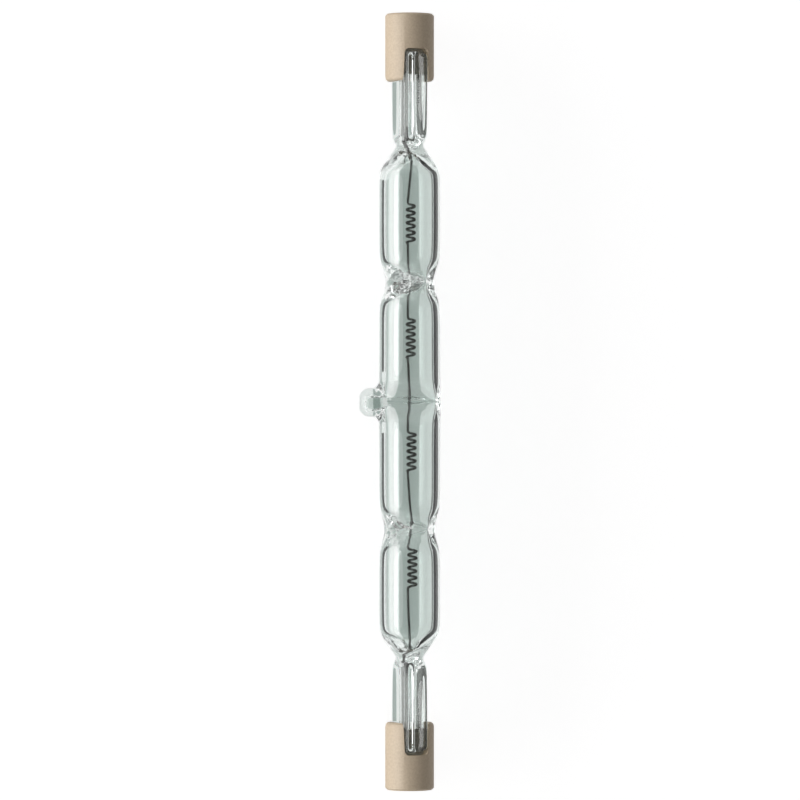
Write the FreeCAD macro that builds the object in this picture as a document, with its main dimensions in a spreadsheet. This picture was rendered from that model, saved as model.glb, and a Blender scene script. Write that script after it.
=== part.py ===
import FreeCAD, Part
import math
import os

import Sketcher
from FreeCAD import Placement, Rotation, Vector

os.makedirs("parts", exist_ok=True)

# A double-ended linear halogen lamp of the 118 mm class. A clear quartz tube is pressed in at three waists,
# which carry a tungsten filament of four coils. Each end of the tube is pressed flat into a ribbed seal
# round a thin foil, and sits in the slot of a ceramic cap with a sunk contact.
# In the lamp frame X runs across, Y to the back and Z along the lamp, from the middle of the lamp.
# In an end frame X is the wide way of the seal, Y its thin way and Z runs out along the lamp.
# Lengths are in millimetres and angles in degrees.

doc = FreeCAD.newDocument("linear_halogen_bulb")
sizes = doc.addObject("Spreadsheet::Sheet", "sizes")

DIMENSIONS = (
    # Overall length and the tube
    ("overall_half", 58.8, "middle of the lamp to the end of a cap"),
    ("tube_radius", 4.64, "outside of the tube"),
    ("tube_wall", 0.95, "wall of the tube"),
    ("shoulder_length", 4.6, "start of a shoulder to the neck of the seal"),
    ("neck_wide", 3.5, "half width of the neck"),
    ("neck_thin", 1.9, "half thickness of the neck"),
    ("neck_fade", 2.6, "neck to where it has sunk into the web of the seal"),
    ("fade_play", 0.1, "how far the end of the fading neck lies inside the web"),
    ("dome_length", 3.4, "length of the rounded end of the cavity"),
    ("dome_wide", 1.3, "half width of the cavity at its end"),
    ("dome_thin", 0.3, "half thickness of the cavity at its end"),
    # Pressed waists
    ("waist_half", 4.1, "middle of a waist to where the tube is round again"),
    ("waist_thin", 2.6, "half thickness across a waist"),
    ("waist_bore_wide", 3.55, "half width of the cavity in a waist"),
    ("upper_waist_at", 18.15, "place of the upper waist"),
    ("upper_waist_turn", 42.0, "direction in which the upper waist is pressed"),
    ("upper_waist_gap", 0.05, "play of the wire in the upper waist"),
    ("upper_waist_bulge", 0.0, "how far the upper waist stands out sideways"),
    ("middle_waist_at", 0.0, "place of the middle waist"),
    ("middle_waist_turn", 90.0, "direction in which the middle waist is pressed"),
    ("middle_waist_gap", 0.1, "play of the wire in the middle waist"),
    ("middle_waist_bulge", 0.15, "how far the middle waist stands out sideways"),
    ("lower_waist_at", -19.35, "place of the lower waist"),
    ("lower_waist_turn", 47.0, "direction in which the lower waist is pressed"),
    ("lower_waist_gap", 0.5, "play of the wire in the lower waist"),
    ("lower_waist_bulge", 0.0, "how far the lower waist stands out sideways"),
    # Sealed exhaust tip
    ("tip_reach", 7.8, "lamp axis to the end of the tip"),
    ("tip_radius", 2.08, "rounded end of the tip"),
    ("tip_at", -0.1, "place of the tip"),
    ("tip_root_depth", 1.04, "outside of the tube to the root of the tip"),
    ("tip_root_long", 3.2, "half length of the root of the tip along the lamp"),
    ("tip_root_thin", 1.4, "half thickness of the root of the tip"),
    ("tip_bore", 0.55, "what is left of the exhaust bore, at the cavity"),
    ("tip_bore_end", 0.25, "what is left of the exhaust bore, at its closed end"),
    ("tip_skin", 1.6, "glass beyond the end of the exhaust bore"),
    # Ribbed seal
    ("seal_turn", 19.0, "turn of the wide way of the seals from straight back"),
    ("seal_length", 14.5, "neck to the end of the seal"),
    ("web_half", 1.1, "half thickness of the web"),
    ("rib_radius", 0.92, "rib at the cap"),
    ("rib_wide", 2.6, "lamp axis to a rib along the wide way, at the cap"),
    ("rib_thin", 0.83, "middle plane of the web to a rib, at the cap"),
    ("rib_root_radius", 0.8, "rib at the neck"),
    ("rib_root_wide", 2.3, "lamp axis to a rib along the wide way, at the neck"),
    ("rib_root_thin", 0.72, "middle plane of the web to a rib, at the neck"),
    ("rib_start", 0.3, "neck to the start of the ribs"),
    ("rib_blunt", 0.4, "how far the ends of the seal are rounded off"),
    # Filament
    ("wire_radius", 0.21, "filament wire"),
    ("coil_radius", 0.6, "centre line of a coil"),
    ("coil_pitch", 1.0, "rise of one turn"),
    ("coil_turns", 6.0, "turns of a coil, from leg to leg"),
    ("coil_bend", 0.42, "bend from a coil into its legs"),
    ("coil_1_shift", 0.0, "first coil, from the middle of its chamber"),
    ("coil_2_shift", 0.5, "second coil, from the middle of its chamber"),
    ("coil_3_shift", 2.1, "third coil, from the middle of its chamber"),
    ("coil_4_shift", 2.5, "fourth coil, from the middle of its chamber"),
    ("coil_1_turn", 50.0, "direction from the legs to the first coil"),
    ("coil_2_turn", 50.0, "direction from the legs to the second coil"),
    ("coil_3_turn", 35.0, "direction from the legs to the third coil"),
    ("coil_4_turn", 5.0, "direction from the legs to the fourth coil"),
    # Foils and outer leads
    ("foil_start", 1.4, "neck to the inner end of a foil"),
    ("foil_cover", 3.1, "outer end of a foil to the end of the seal"),
    ("foil_half_width", 1.4, "half width of a foil"),
    ("foil_thickness", 0.1, "thickness of a foil"),
    ("foil_edge", 0.04, "thickness of a foil at its feathered edges"),
    ("foil_feather", 0.5, "width of a feathered edge"),
    ("tail_weld", 1.6, "length of the filament's tail on its foil"),
    ("lead_radius", 0.35, "outer lead"),
    ("lead_weld", 1.3, "length of the lead's flat on its foil"),
    # Ceramic caps
    ("cap_radius", 3.7, "outside of a cap"),
    ("cap_length", 10.2, "length of a cap"),
    ("cap_bevel", 0.3, "bevel of the cap's outer rim"),
    ("mouth_bevel", 0.45, "how far the lead-in bevel of the mouth goes inwards"),
    ("mouth_bevel_length", 0.9, "length of the lead-in bevel of the mouth"),
    ("slot_web", 1.35, "ceramic between the floor of the slot and the contact's shank"),
    ("slot_round", 0.7, "rounding in the corners of the slot"),
    ("slot_play", 0.1, "play of the seal in the slot, on each side"),
    ("recess_radius", 2.4, "recess for the pin of the holder"),
    ("recess_depth", 1.7, "depth of the recess, to the contact"),
    ("recess_bevel", 0.35, "bevel at the mouth of the recess"),
    # Contacts
    ("contact_radius", 1.9, "head of the contact"),
    ("contact_thickness", 0.5, "thickness of the head"),
    ("contact_crown", 0.15, "fall of the head from its flat middle to its rim"),
    ("contact_flat", 1.1, "flat middle of the head"),
    ("shank_radius", 0.75, "shank of the contact"),
    ("shank_length", 1.8, "length of the shank below the head"),
    ("socket_depth", 1.4, "depth of the shank's socket for the lead"),
    ("shank_play", 0.1, "play of the shank in the cap"),
    # Cement and fits
    ("cement_bed", 0.35, "cement between the end of the seal and the floor of the slot"),
    ("cement_half", 1.5, "half width of the cement along the wide way of the seal"),
    ("cement_start", 1.0, "mouth of the cap to the start of the cement"),
    ("fit_gap", 0.02, "gap round a wire, foil or head in its seat"),
)

# What follows from the dimensions. Places along the lamp are measured from its middle.
DERIVED = (
    ("bore_radius", "tube_radius - tube_wall", "inside of the tube"),
    ("cap_mouth", "overall_half - cap_length", "inner end of a cap"),
    ("recess_floor", "overall_half - recess_depth", "floor of the recess"),
    ("seat_floor", "recess_floor - contact_thickness", "seat of the contact's head"),
    ("shank_end", "seat_floor - shank_length", "end of the contact's shank"),
    ("socket_end", "shank_end + socket_depth", "blind end of the socket"),
    ("shank_bore", "shank_radius + shank_play", "bore of the cap"),
    ("slot_floor", "shank_end - slot_web", "floor of the slot"),
    ("slot_half", "rib_thin + rib_radius + slot_play", "half width of the slot"),
    ("seal_end", "slot_floor - cement_bed", "end of the seal"),
    ("neck_at", "seal_end - seal_length", "neck"),
    ("bulb_half", "neck_at - shoulder_length", "start of a shoulder"),
    ("dome_at", "bulb_half + dome_length", "end of the cavity"),
    ("rib_begin", "neck_at + rib_start", "start of the ribs"),
    ("foil_inner", "neck_at + foil_start", "inner end of a foil"),
    ("foil_outer", "seal_end - foil_cover", "outer end of a foil"),
    ("foil_flat", "foil_half_width - foil_feather", "half width of a foil between its feathered edges"),
    ("tail_end", "foil_inner + tail_weld", "end of the filament's tail"),
    ("wire_offset", "foil_thickness / 2 + wire_radius + fit_gap", "lamp axis to the wire beside the foil"),
    ("wire_reach", "wire_offset + wire_radius", "lamp axis to the far side of the wire"),
    ("lead_start", "foil_outer - lead_weld", "inner end of an outer lead"),
    ("lead_bore", "lead_radius + fit_gap", "hole for the outer lead"),
    ("tip_centre", "tip_reach - tip_radius", "lamp axis to the middle of the tip's round end"),
    ("tip_root_at", "tube_radius - tip_root_depth", "lamp axis to the root of the tip"),
)

for row, (alias, value, meaning) in enumerate(DIMENSIONS, start=1):
    sizes.set(f"A{row}", str(value))
    sizes.setAlias(f"A{row}", alias)
    sizes.set(f"B{row}", meaning)
for row, (alias, formula, meaning) in enumerate(DERIVED, start=len(DIMENSIONS) + 1):
    sizes.set(f"A{row}", f"={formula}")
    sizes.setAlias(f"A{row}", alias)
    sizes.set(f"B{row}", meaning)
doc.recompute()

ACROSS = Vector(1, 0, 0)
BACK = Vector(0, 1, 0)
ALONG = Vector(0, 0, 1)


def size(text):
    """The value of a cell, or of an expression over cells, written as sizes.name."""
    return float(sizes.evalExpression(text))


# Frames. Lying down, the lamp rests along its tube and on the side of its exhaust tip, so it is rolled
# about its axis until the tip's round end comes down to the floor.
roll = math.degrees(math.asin((size("tube_radius") - size("tip_radius")) / size("tip_centre")))
tip_side = size("tip_centre") * math.cos(math.radians(roll)) + size("tip_radius")
axis_across = (tip_side - size("tube_radius")) / 2
LAMP = Placement(Vector(axis_across, 0, size("tube_radius")), Rotation(BACK, -roll)) * Placement(
    Vector(0, 0, 0), Rotation(ACROSS, -90)
)
UPPER = Placement(Vector(0, 0, 0), Rotation(ALONG, size("seal_turn") - 90))
LOWER = UPPER * Placement(Vector(0, 0, 0), Rotation(ACROSS, 180))
ENDS = (("upper", UPPER), ("lower", LOWER))


# Helpers for Part features
def feature(kind, name, **expressions):
    """A Part feature whose properties are bound to expressions over the sheet."""
    item = doc.addObject(kind, name)
    for key, text in expressions.items():
        item.setExpression(key, text)
    return item


def fuse(name, items):
    joined = doc.addObject("Part::MultiFuse", name)
    joined.Shapes = items
    return joined


def cut(name, base, tool):
    result = doc.addObject("Part::Cut", name)
    result.Base = base
    result.Tool = tool
    return result


def oval(name, place, wide, thin, turn=0.0):
    """A section across the Z axis at a place along it, its wide axis turned from X."""
    ring = feature("Part::Ellipse", name, MajorRadius=wide, MinorRadius=thin)
    ring.Placement = Placement(Vector(0, 0, 0), Rotation(ALONG, turn))
    ring.setExpression("Placement.Base.z", place)
    return ring


def loft(name, sections):
    """A solid through sections, with straight bands from one to the next."""
    skin = doc.addObject("Part::Loft", name)
    skin.Sections = sections
    skin.Solid = True
    skin.Ruled = True
    return skin


def between(start, end, share):
    """The expression that goes from one expression to another as share goes from 0 to 1."""
    return f"({start}) + (({end}) - ({start})) * {share:.6f}"


def swell(part):
    """Smooth step from 0 to 1 and back, for part from -1 to 1."""
    return (1 + math.cos(math.pi * part)) / 2


def shoulder_share(part):
    """Roundness of a shoulder, from 0 at the neck to 1 where the tube is round: mostly a dome."""
    dome_part = math.sin(math.pi * part / 2)
    return DOME_SHARE * dome_part + (1 - DOME_SHARE) * swell(1 - part)


# Quartz envelope
WAISTS = ("lower", "middle", "upper")
DOME_SHARE = 0.7
OUTER_WAIST_STEPS = 8
INNER_WAIST_STEPS = 6
SHOULDER_STEPS = 7
FADE_STEPS = 3
DOME_STEPS = 5
TIP_STEPS = 4
RIB_FLATS = 8


def waist(which, wall, round_radius, thin, wide, steps):
    """A length of the tube, or of its cavity, that is pressed to an oval in its middle."""
    sections = []
    for step in range(steps + 1):
        part = 2 * step / steps - 1
        sections.append(oval(
            f"{which}_waist_{wall}_{step}",
            f"sizes.{which}_waist_at + sizes.waist_half * {part}",
            between(round_radius, wide, swell(part)),
            between(round_radius, thin, swell(part)),
            size(f"{which}_waist_turn") + 90,
        ))
    return loft(f"{which}_waist_{wall}", sections)


def straight(name, radius, start, end):
    """A round length of the tube, or of its cavity."""
    run = feature("Part::Cylinder", name, Radius=radius, Height=f"({end}) - ({start})")
    run.setExpression("Placement.Base.z", start)
    return run


def tube_body(wall, radius, waists):
    """The waists with the round lengths between them and out to the shoulders."""
    marks = ["-sizes.bulb_half"]
    for which in WAISTS:
        marks.append(f"sizes.{which}_waist_at - sizes.waist_half")
        marks.append(f"sizes.{which}_waist_at + sizes.waist_half")
    marks.append("sizes.bulb_half")
    runs = [
        straight(f"run_{wall}_{index}", radius, start, end)
        for index, (start, end) in enumerate(zip(marks[0::2], marks[1::2]))
    ]
    return runs + waists


def shoulder(end):
    """The tube closing to its neck, and the neck sinking into the web of the seal."""
    sections = []
    for step in range(SHOULDER_STEPS + 1):
        share = shoulder_share(1 - step / SHOULDER_STEPS)
        sections.append(oval(
            f"{end}_shoulder_{step}",
            f"sizes.bulb_half + sizes.shoulder_length * {step / SHOULDER_STEPS}",
            between("sizes.neck_wide", "sizes.tube_radius", share),
            between("sizes.neck_thin", "sizes.tube_radius", share),
        ))
    for step in range(1, FADE_STEPS + 1):
        share = 1 - swell(step / FADE_STEPS)
        sections.append(oval(
            f"{end}_fade_{step}",
            f"sizes.neck_at + sizes.neck_fade * {step / FADE_STEPS}",
            between("sizes.neck_wide", "sizes.rib_root_wide - sizes.fade_play", share),
            between("sizes.neck_thin", "sizes.web_half - sizes.fade_play", share),
        ))
    return loft(f"{end}_shoulder", sections)


def dome(end):
    """The rounded end of the cavity, narrowing to the wire's entry."""
    sections = []
    for step in range(DOME_STEPS + 1):
        share = shoulder_share(1 - step / DOME_STEPS)
        sections.append(oval(
            f"{end}_dome_{step}",
            f"sizes.bulb_half + sizes.dome_length * {step / DOME_STEPS}",
            between("sizes.dome_wide", "sizes.bore_radius", share),
            between("sizes.dome_thin", "sizes.bore_radius", share),
        ))
    return loft(f"{end}_dome", sections)


def slab(name, half_wide, half_thin, start, end):
    """A flat block on the middle plane of a seal."""
    block = feature(
        "Part::Box", name,
        Length=f"2 * ({half_wide})", Width=f"2 * ({half_thin})", Height=f"({end}) - ({start})",
    )
    block.Placement.Base = Vector(-size(half_wide), -size(half_thin), size(start))
    return block


def ribbed_section(name, place, wide, thin, radius, web):
    """The web of a seal with two round ribs along each of its edges, as one closed outline of flats."""
    valley = -math.asin(thin / radius)
    foot = math.pi - math.asin((web - thin) / radius)
    quarter = []
    for step in range(RIB_FLATS + 1):
        angle = valley + (foot - valley) * step / RIB_FLATS
        quarter.append((wide + radius * math.cos(angle), thin + radius * math.sin(angle)))
    half = quarter + [(-across, up) for across, up in quarter[::-1]]
    outline = half + [(across, -up) for across, up in half[-2:0:-1]]
    corners = [Vector(across, up, place) for across, up in outline]
    section = doc.addObject("Part::Feature", name)
    section.Shape = Part.makePolygon(corners + corners[:1])
    return section


def seal(end):
    """The ribbed blade of glass, blunt at both ends and a little thicker towards the cap."""
    root = [size(f"rib_root_{way}") for way in ("wide", "thin", "radius")]
    tip = [size("rib_wide"), size("rib_thin"), size("rib_radius")]
    web = size("web_half")
    blunt = size("rib_blunt")
    stations = (
        (size("rib_begin"), root, blunt, web - blunt),
        (size("rib_begin") + blunt, root, 0, web),
        (size("seal_end") - blunt, tip, 0, web),
        (size("seal_end"), tip, blunt, web - blunt),
    )
    return loft(f"{end}_seal", [
        ribbed_section(f"{end}_seal_section_{number}", place, wide - shrink / 2, thin - shrink / 2,
                       radius - shrink / 2, half_web)
        for number, (place, (wide, thin, radius), shrink, half_web) in enumerate(stations)
    ])


def end_glass(end, frame):
    """Shoulder and seal of one end."""
    glass = fuse(f"{end}_glass", [shoulder(end), seal(end)])
    glass.Placement = frame
    return glass


def end_hollow(end, frame, thin_side):
    """End of the cavity with the seats of the filament's tail, the foil and the outer lead."""
    tail = feature("Part::Cylinder", f"{end}_tail_seat", Radius="sizes.wire_radius + sizes.fit_gap",
                   Height="sizes.tail_end + sizes.fit_gap - sizes.bulb_half")
    tail.Placement.Base = Vector(0, thin_side * size("wire_offset"), size("bulb_half"))
    foil_seat = slab(f"{end}_foil_seat", "sizes.foil_half_width + sizes.fit_gap",
                     "sizes.foil_thickness / 2 + sizes.fit_gap", "sizes.foil_inner - sizes.fit_gap",
                     "sizes.foil_outer + sizes.fit_gap")
    lead_seat = straight(f"{end}_lead_seat", "sizes.lead_bore", "sizes.lead_start - sizes.fit_gap",
                         "sizes.seal_end + sizes.cement_bed")
    hollow = fuse(f"{end}_hollow", [dome(end), tail, foil_seat, lead_seat])
    hollow.Placement = frame
    return hollow


def tip_glass():
    """The sealed exhaust tube: a flared root and a round end."""
    sections = []
    for step in range(TIP_STEPS + 1):
        share = 1 - swell(step / TIP_STEPS)
        sections.append(oval(
            f"tip_section_{step}",
            between("sizes.tip_root_at", "sizes.tip_centre", step / TIP_STEPS),
            between("sizes.tip_root_long", "sizes.tip_radius - sizes.fit_gap", math.sqrt(share)),
            between("sizes.tip_root_thin", "sizes.tip_radius - sizes.fit_gap", math.sqrt(share)),
        ))
    root = loft("tip_root", sections)
    ball = feature("Part::Sphere", "tip_ball", Radius="sizes.tip_radius")
    ball.setExpression("Placement.Base.z", "sizes.tip_centre")
    return [root, ball]


def tip_hollow(to_side):
    """What is left of the exhaust bore, open to the cavity."""
    start = "sizes.waist_bore_wide / 2"
    bore = feature("Part::Cone", "exhaust_bore", Radius1="sizes.tip_bore", Radius2="sizes.tip_bore_end",
                   Height=f"sizes.tip_reach - sizes.tip_skin - {start}")
    bore.Placement = to_side * Placement(ALONG * size(start), Rotation())
    return bore


def quartz_envelope():
    outer_waists = [
        waist(which, "outer", "sizes.tube_radius", "sizes.waist_thin",
              f"sizes.tube_radius + sizes.{which}_waist_bulge", OUTER_WAIST_STEPS)
        for which in WAISTS
    ]
    inner_waists = [
        waist(which, "inner", "sizes.bore_radius", f"sizes.wire_reach + sizes.{which}_waist_gap",
              "sizes.waist_bore_wide", INNER_WAIST_STEPS)
        for which in WAISTS
    ]
    # The tip is built along Z, with its long way along X, and turned to the side
    to_side = Placement(Vector(0, 0, size("tip_at")), Rotation(BACK, -90))
    tip = fuse("exhaust_tip", tip_glass())
    tip.Placement = to_side
    solid = tube_body("outer", "sizes.tube_radius", outer_waists) + [tip]
    hollow = tube_body("inner", "sizes.bore_radius", inner_waists) + [tip_hollow(to_side)]
    for end, frame in ENDS:
        solid.append(end_glass(end, frame))
        hollow.append(end_hollow(end, frame, -1 if end == "upper" else 1))
    envelope = cut("quartz_envelope", fuse("glass_outside", solid), fuse("glass_inside", hollow))
    envelope.Placement = LAMP
    return envelope


# Tungsten filament, one wire from foil to foil
STEPS_PER_TURN = 10
BEND_STEPS = 3
WIRE_FLATS = 6


def coil_chambers():
    """Middle of each chamber of the tube, from the top down."""
    marks = [size("sizes.dome_at"), size("sizes.upper_waist_at"), size("sizes.middle_waist_at"),
             size("sizes.lower_waist_at"), -size("sizes.dome_at")]
    return [(high + low) / 2 for high, low in zip(marks, marks[1:])]


def coil_points(middle, turn):
    """Points of one coil with its two bends, from its lower leg to its upper leg."""
    radius = size("coil_radius")
    pitch = size("coil_pitch")
    bend = size("coil_bend")
    climb = math.atan(pitch / (2 * math.pi * radius))
    overrun = bend * (1 - math.sin(climb))
    leg = math.hypot(radius, overrun)
    lead_in = math.atan2(overrun, radius)
    sweep = 2 * math.pi * size("coil_turns") - 2 * lead_in
    steps = round(size("coil_turns") * STEPS_PER_TURN)
    # The legs lie on the Z axis and the coil winds about an axis beside it, half of it each side of middle
    winding = []
    for step in range(steps + 1):
        angle = sweep * (step / steps - 0.5)
        rise = pitch * angle / (2 * math.pi)
        around = math.pi * (size("coil_turns") + 1) + angle
        winding.append(Vector(leg + radius * math.cos(around), -radius * math.sin(around), middle + rise))

    def bend_points(start, side):
        level = Vector(-start.x, -start.y, 0).normalize()
        centre = start + (ALONG * side * math.cos(climb) - level * math.sin(climb)) * bend
        points = []
        for step in range(1, BEND_STEPS + 1):
            angle = climb + (math.pi / 2 - climb) * step / BEND_STEPS
            points.append(centre + (level * math.sin(angle) - ALONG * side * math.cos(angle)) * bend)
        return points

    lower = bend_points(winding[0], -1)
    upper = bend_points(winding[-1], 1)
    around_legs = Placement(Vector(0, 0, 0), Rotation(ALONG, turn))
    return [around_legs.multVec(point) for point in lower[::-1] + winding + upper]


def wire_along(points, radius):
    """A wire of six flats through points, its sections carried on without twist."""
    headings = []
    for index in range(len(points)):
        before = points[max(index - 1, 0)]
        after = points[min(index + 1, len(points) - 1)]
        headings.append((after - before).normalize())
    frame = Rotation(ALONG, headings[0])
    sections = []
    for index, (point, heading) in enumerate(zip(points, headings)):
        if index:
            frame = Rotation(headings[index - 1], heading) * frame
        corners = [
            point + frame.multVec(Vector(math.cos(angle), math.sin(angle), 0)) * radius
            for angle in (2 * math.pi * side / WIRE_FLATS for side in range(WIRE_FLATS))
        ]
        sections.append(Part.makePolygon(corners + corners[:1]))
    return Part.makeLoft(sections, True, True)


def tungsten_filament():
    points = [ALONG * -size("tail_end")]
    middles = list(enumerate(coil_chambers(), start=1))
    for number, chamber in reversed(middles):
        points += coil_points(chamber + size(f"coil_{number}_shift"), size(f"coil_{number}_turn"))
    points.append(ALONG * size("tail_end"))
    beside_foil = UPPER.multVec(Vector(0, -size("wire_offset"), 0))
    filament = doc.addObject("Part::Feature", "tungsten_filament")
    filament.Shape = wire_along(points, size("wire_radius"))
    filament.Placement = LAMP * Placement(beside_foil, Rotation())
    return filament


# Helpers for bodies
def new_body(name):
    return doc.addObject("PartDesign::Body", name)


def sketch_on(body, role, name, lift="0"):
    """A sketch on one of the body's own planes, lifted along the plane's normal."""
    sketch = body.newObject("Sketcher::SketchObject", name)
    plane = next(item for item in body.Origin.OriginFeatures if item.Role == role)
    sketch.AttachmentSupport = (plane, [""])
    sketch.MapMode = "FlatFace"
    sketch.setExpression(".AttachmentOffset.Base.z", lift)
    return sketch


def circle_sketch(body, name, radius, lift):
    sketch = sketch_on(body, "XY_Plane", name, lift)
    sketch.addGeometry(Part.Circle(Vector(0, 0, 0), ALONG, size(radius)))
    sketch.addConstraint(Sketcher.Constraint("Coincident", 0, 3, -1, 1))
    rule = sketch.addConstraint(Sketcher.Constraint("Radius", 0, size(radius)))
    sketch.setExpression(f"Constraints[{rule}]", radius)
    return sketch


def outline_sketch(body, role, name, corners, lift="0"):
    """A closed outline whose corners are pairs of expressions, each one a constraint."""
    sketch = sketch_on(body, role, name, lift)
    points = [Vector(size(across), size(up), 0) for across, up in corners]
    for start, end in zip(points, points[1:] + points[:1]):
        sketch.addGeometry(Part.LineSegment(start, end))
    for line in range(len(points)):
        sketch.addConstraint(Sketcher.Constraint("Coincident", line, 2, (line + 1) % len(points), 1))
    for line, (across, up) in enumerate(corners):
        for rule, text, axis in (("DistanceX", across, -2), ("DistanceY", up, -1)):
            if text == "0":
                sketch.addConstraint(Sketcher.Constraint("PointOnObject", line, 1, axis))
                continue
            index = sketch.addConstraint(Sketcher.Constraint(rule, -1, 1, line, 1, size(text)))
            sketch.setExpression(f"Constraints[{index}]", text)
    return sketch


def turned(body, name, corners):
    """A revolved body from its half section, given as radius and place along the lamp."""
    profile = outline_sketch(body, "XZ_Plane", f"{name}_profile", corners)
    solid = body.newObject("PartDesign::Revolution", f"{name}_turned")
    solid.Profile = profile
    solid.ReferenceAxis = (profile, ["V_Axis"])
    solid.Angle = 360
    doc.recompute()
    return solid


def through(body, kind, sketch, name, length=""):
    """A pad or pocket to both sides of its sketch, right through or of a length."""
    item = body.newObject(kind, name)
    item.Profile = sketch
    item.Midplane = True
    if length:
        item.setExpression("Length", length)
    else:
        item.Type = "ThroughAll"
    doc.recompute()
    return item


def rounded(body, base, name, radius, wanted):
    """A fillet on the edges of a feature that a test picks."""
    picked = [
        f"Edge{number}" for number, edge in enumerate(base.Shape.Edges, start=1) if wanted(edge)
    ]
    smooth = body.newObject("PartDesign::Fillet", name)
    smooth.Base = (base, picked)
    smooth.setExpression("Radius", radius)
    doc.recompute()
    return smooth


def near(first, second):
    return abs(first - second) < 1e-4


def on_slot_floor(edge):
    """True for the edges round the floor of the slot: its two inner corners and its two outer lips."""
    ends = [vertex.Point for vertex in edge.Vertexes]
    return len(ends) == 2 and all(
        near(point.z, size("slot_floor")) and near(abs(point.y), size("slot_half")) for point in ends
    )


def slot_corner(edge):
    """True for the edges along the inner corners of the slot."""
    return on_slot_floor(edge) and near(edge.Vertexes[0].Y, edge.Vertexes[1].Y)


# Pieces of one end, each in the end's own frame
def ceramic_cap(body, name):
    turned(body, name, [
        ("sizes.shank_bore", "sizes.cap_mouth"),
        ("sizes.cap_radius - sizes.mouth_bevel", "sizes.cap_mouth"),
        ("sizes.cap_radius", "sizes.cap_mouth + sizes.mouth_bevel_length"),
        ("sizes.cap_radius", "sizes.overall_half - sizes.cap_bevel"),
        ("sizes.cap_radius - sizes.cap_bevel", "sizes.overall_half"),
        ("sizes.recess_radius + sizes.recess_bevel", "sizes.overall_half"),
        ("sizes.recess_radius", "sizes.overall_half - sizes.recess_bevel"),
        ("sizes.recess_radius", "sizes.recess_floor"),
        ("sizes.contact_radius + sizes.fit_gap", "sizes.recess_floor"),
        ("sizes.contact_radius + sizes.fit_gap", "sizes.seat_floor"),
        ("sizes.shank_bore", "sizes.seat_floor"),
    ])
    slot = outline_sketch(body, "YZ_Plane", f"{name}_slot_outline", [
        ("-sizes.slot_half", "sizes.cap_mouth - sizes.cap_bevel"),
        ("sizes.slot_half", "sizes.cap_mouth - sizes.cap_bevel"),
        ("sizes.slot_half", "sizes.slot_floor"),
        ("-sizes.slot_half", "sizes.slot_floor"),
    ])
    slotted = through(body, "PartDesign::Pocket", slot, f"{name}_slot")
    rounded(body, slotted, f"{name}_slot_edges", "sizes.slot_round", on_slot_floor)


def cap_cement(body, name):
    """A block that fills the floor of the slot and both sides of the web."""
    outline = outline_sketch(body, "YZ_Plane", f"{name}_outline", [
        ("-sizes.slot_half", "sizes.cap_mouth + sizes.cement_start"),
        ("sizes.slot_half", "sizes.cap_mouth + sizes.cement_start"),
        ("sizes.slot_half", "sizes.slot_floor"),
        ("-sizes.slot_half", "sizes.slot_floor"),
    ])
    block = through(body, "PartDesign::Pad", outline, f"{name}_block", "2 * sizes.cement_half")
    rounded(body, block, f"{name}_corners", "sizes.slot_round", slot_corner)
    web = outline_sketch(body, "YZ_Plane", f"{name}_web_outline", [
        ("-sizes.web_half", "sizes.cap_mouth"),
        ("sizes.web_half", "sizes.cap_mouth"),
        ("sizes.web_half", "sizes.seal_end"),
        ("-sizes.web_half", "sizes.seal_end"),
    ])
    straddled = through(body, "PartDesign::Pocket", web, f"{name}_web_seat")
    hole = circle_sketch(body, f"{name}_hole_outline", "sizes.lead_bore", "sizes.slot_floor")
    opened = body.newObject("PartDesign::Pocket", f"{name}_hole")
    opened.Profile = hole
    opened.setExpression("Length", "sizes.slot_floor - sizes.seal_end")
    doc.recompute()
    if opened.Shape.Volume >= straddled.Shape.Volume:
        raise ValueError(f"the hole of {name} cuts nothing")


def contact_button(body, name):
    turned(body, name, [
        ("0", "sizes.recess_floor"),
        ("sizes.contact_flat", "sizes.recess_floor"),
        ("sizes.contact_radius", "sizes.recess_floor - sizes.contact_crown"),
        ("sizes.contact_radius", "sizes.seat_floor"),
        ("sizes.shank_radius", "sizes.seat_floor"),
        ("sizes.shank_radius", "sizes.shank_end"),
        ("sizes.lead_bore", "sizes.shank_end"),
        ("sizes.lead_bore", "sizes.socket_end"),
        ("0", "sizes.socket_end"),
    ])


def molybdenum_foil(body, name):
    """A thin strip with feathered edges."""
    section = outline_sketch(body, "XY_Plane", f"{name}_section", [
        ("sizes.foil_half_width", "-sizes.foil_edge / 2"),
        ("sizes.foil_half_width", "sizes.foil_edge / 2"),
        ("sizes.foil_flat", "sizes.foil_thickness / 2"),
        ("-sizes.foil_flat", "sizes.foil_thickness / 2"),
        ("-sizes.foil_half_width", "sizes.foil_edge / 2"),
        ("-sizes.foil_half_width", "-sizes.foil_edge / 2"),
        ("-sizes.foil_flat", "-sizes.foil_thickness / 2"),
        ("sizes.foil_flat", "-sizes.foil_thickness / 2"),
    ], "sizes.foil_inner")
    strip = body.newObject("PartDesign::Pad", f"{name}_strip")
    strip.Profile = section
    strip.setExpression("Length", "sizes.foil_outer - sizes.foil_inner")


def outer_lead(name):
    """A wire whose inner end is ground flat on one side and lies on the foil."""
    wire = straight(f"{name}_wire", "sizes.lead_radius", "sizes.lead_start", "sizes.socket_end")
    flat = feature("Part::Box", f"{name}_flat", Length="4 * sizes.lead_radius",
                   Width="4 * sizes.lead_radius",
                   Height="sizes.lead_weld + sizes.fit_gap + sizes.lead_radius")
    flat.Placement.Base = Vector(
        -2 * size("lead_radius"),
        size("foil_thickness") / 2 - 4 * size("lead_radius"),
        size("lead_start") - size("lead_radius"),
    )
    return cut(name, wire, flat)


BODY_PIECES = (
    ("ceramic_cap", ceramic_cap),
    ("cap_cement", cap_cement),
    ("contact_button", contact_button),
    ("molybdenum_foil", molybdenum_foil),
)

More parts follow.
